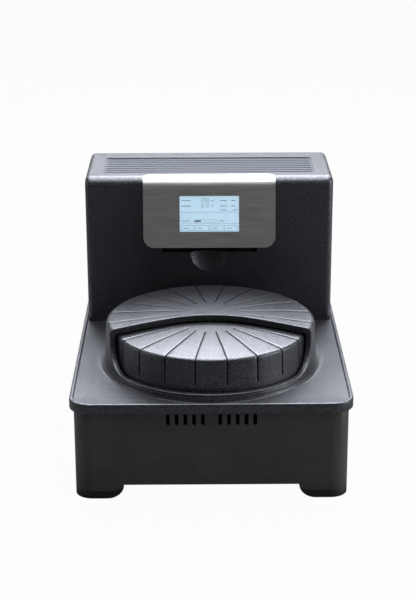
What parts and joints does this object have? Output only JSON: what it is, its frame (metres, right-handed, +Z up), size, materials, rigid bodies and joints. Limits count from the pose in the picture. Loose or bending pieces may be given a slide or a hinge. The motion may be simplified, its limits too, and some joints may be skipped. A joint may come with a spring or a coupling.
{
  "type": "planetary ball mill",
  "caption": "Bench planetary ball mill with a domed turning lid, a rear tower with a tilting touch panel, an air grille and rubber feet.",
  "frame": {"origin": "centre of the footprint, on the surface that the rubber feet stand on", "axes": "+Z up, front with the lid towards -Y, tower at +Y, +X to the right seen from the front"},
  "size_m": [0.4, 0.532, 0.3828],
  "materials": {
    "shell_paint": "fine-textured metallic powder paint, satin",
    "base_paint": "dark grey-olive powder paint, satin",
    "foot_rubber": "moulded black rubber, matt",
    "fascia_metal": "brushed and clear-coated silver-grey sheet",
    "screen_glass": "flat touch glass",
    "display": "lit pale blue liquid-crystal display",
    "black_plastic": "moulded black plastic, fine grain",
    "grille_plastic": "moulded slate-grey plastic, satin",
    "board_green": "lacquered circuit board",
    "cast_metal": "cast and machined aluminium",
    "plain_steel": "turned steel, fine machining marks",
    "bowl_steel": "turned stainless steel, polished",
    "bearing_steel": "ground bearing steel",
    "sheet_steel": "galvanised sheet, folded",
    "belt_rubber": "reinforced belt rubber",
    "guide_plastic": "sliding plastic, natural colour",
    "motor_paint": "blue-grey motor enamel"
  },
  "bodies": {
    "housing": {"rubber_feet": "foot_rubber", "base_casing": "base_paint", "base_plate": "sheet_steel", "deck": "shell_paint", "hood": "shell_paint", "lid_pivot_pin": "plain_steel", "lid_gearmotor": "motor_paint", "lid_motor_bracket": "sheet_steel", "lid_guide_shoes": "guide_plastic", "chamber_casting": "cast_metal", "support_posts": "plain_steel", "main_bearing_housing": "cast_metal", "shaft_bearings": "bearing_steel", "main_belt": "belt_rubber", "sun_pulley": "cast_metal", "motor_case": "motor_paint", "motor_plate": "plain_steel", "tower_casing": "shell_paint", "air_grille": "grille_plastic", "panel_tray": "black_plastic", "panel_hinge_rod": "plain_steel", "fan_housing": "black_plastic", "electronics_shelf": "sheet_steel", "power_supply": "sheet_steel", "motor_drive": "black_plastic", "rear_panel": "base_paint", "mains_inlet": "black_plastic", "switch_frame": "black_plastic", "cap_screws": "plain_steel"},
    "lid": {"lid_shutter": "shell_paint", "lid_gear_ring": "guide_plastic"},
    "lid_drive": {"lid_pinion": "plain_steel"},
    "rotor": {"main_disk": "cast_metal", "main_disk_bolts": "plain_steel", "main_shaft": "plain_steel", "main_pulley": "cast_metal", "planet_bearings": "bearing_steel", "planet_belts": "belt_rubber"},
    "planet_a": {"bowl_holder_a": "plain_steel", "planet_pulley_a": "cast_metal", "grinding_bowl_a": "bowl_steel", "bowl_lid_a": "bowl_steel", "grinding_balls_a": "bearing_steel"},
    "clamp_a": {"bowl_clamp_a": "plain_steel"},
    "planet_b": {"bowl_holder_b": "plain_steel", "planet_pulley_b": "cast_metal", "grinding_bowl_b": "bowl_steel", "bowl_lid_b": "bowl_steel", "grinding_balls_b": "bearing_steel"},
    "clamp_b": {"bowl_clamp_b": "plain_steel"},
    "motor_armature": {"motor_rotor": "plain_steel", "motor_pulley": "cast_metal"},
    "fan_wheel": {"fan_impeller": "black_plastic"},
    "control_panel": {"control_fascia": "fascia_metal", "touch_glass": "screen_glass", "display_module": "display", "control_board": "board_green", "panel_back_box": "black_plastic"},
    "power_rocker": {"switch_rocker": "black_plastic"},
    "fuse_tray": {"fuse_drawer": "black_plastic"}
  },
  "joints": [
    {"name": "lid_turn", "type": "hinge", "parent": "housing", "child": "lid", "pos_m": [0, -0.102, 0], "axis": [0, 0, 1], "range_deg": [0, 180]},
    {"name": "lid_pinion_spin", "type": "hinge", "parent": "housing", "child": "lid_drive", "pos_m": [-0.14203, -0.02, 0], "axis": [0, 0, 1], "range_deg": [-1665, 0]},
    {"name": "disk_spin", "type": "hinge", "parent": "housing", "child": "rotor", "pos_m": [0, -0.102, 0], "axis": [0, 0, 1], "continuous": true},
    {"name": "motor_spin", "type": "hinge", "parent": "housing", "child": "motor_armature", "pos_m": [0, 0.15, 0], "axis": [0, 0, 1], "continuous": true},
    {"name": "fan_spin", "type": "hinge", "parent": "housing", "child": "fan_wheel", "pos_m": [0, 0.165, 0], "axis": [0, 0, 1], "continuous": true},
    {"name": "panel_tilt", "type": "hinge", "parent": "housing", "child": "control_panel", "pos_m": [0, 0.09144, 0.3816], "axis": [-1, 0, 0], "range_deg": [0, 20]},
    {"name": "power_switch", "type": "hinge", "parent": "housing", "child": "power_rocker", "pos_m": [0.075, 0.255, 0.1855], "axis": [1, 0, 0], "range_deg": [0, 24]},
    {"name": "fuse_slide", "type": "slide", "parent": "housing", "child": "fuse_tray", "axis": [0, 1, 0], "range_m": [0, 0.018]},
    {"name": "planet_a_spin", "type": "hinge", "parent": "rotor", "child": "planet_a", "pos_m": [-0.07, -0.102, 0], "axis": [0, 0, 1], "continuous": true},
    {"name": "clamp_a_turn", "type": "hinge", "parent": "planet_a", "child": "clamp_a", "pos_m": [-0.07, -0.102, 0], "axis": [0, 0, 1], "range_deg": [0, 60]},
    {"name": "planet_b_spin", "type": "hinge", "parent": "rotor", "child": "planet_b", "pos_m": [0.07, -0.102, 0], "axis": [0, 0, 1], "continuous": true},
    {"name": "clamp_b_turn", "type": "hinge", "parent": "planet_b", "child": "clamp_b", "pos_m": [0.07, -0.102, 0], "axis": [0, 0, 1], "range_deg": [0, 60]}
  ],
  "couplings": [
    {"joint": "lid_pinion_spin", "follows": "lid_turn", "ratio": -9.25},
    {"joint": "motor_spin", "follows": "disk_spin", "ratio": 2.5},
    {"joint": "planet_a_spin", "follows": "disk_spin", "ratio": -2},
    {"joint": "planet_b_spin", "follows": "disk_spin", "ratio": -2}
  ]
}
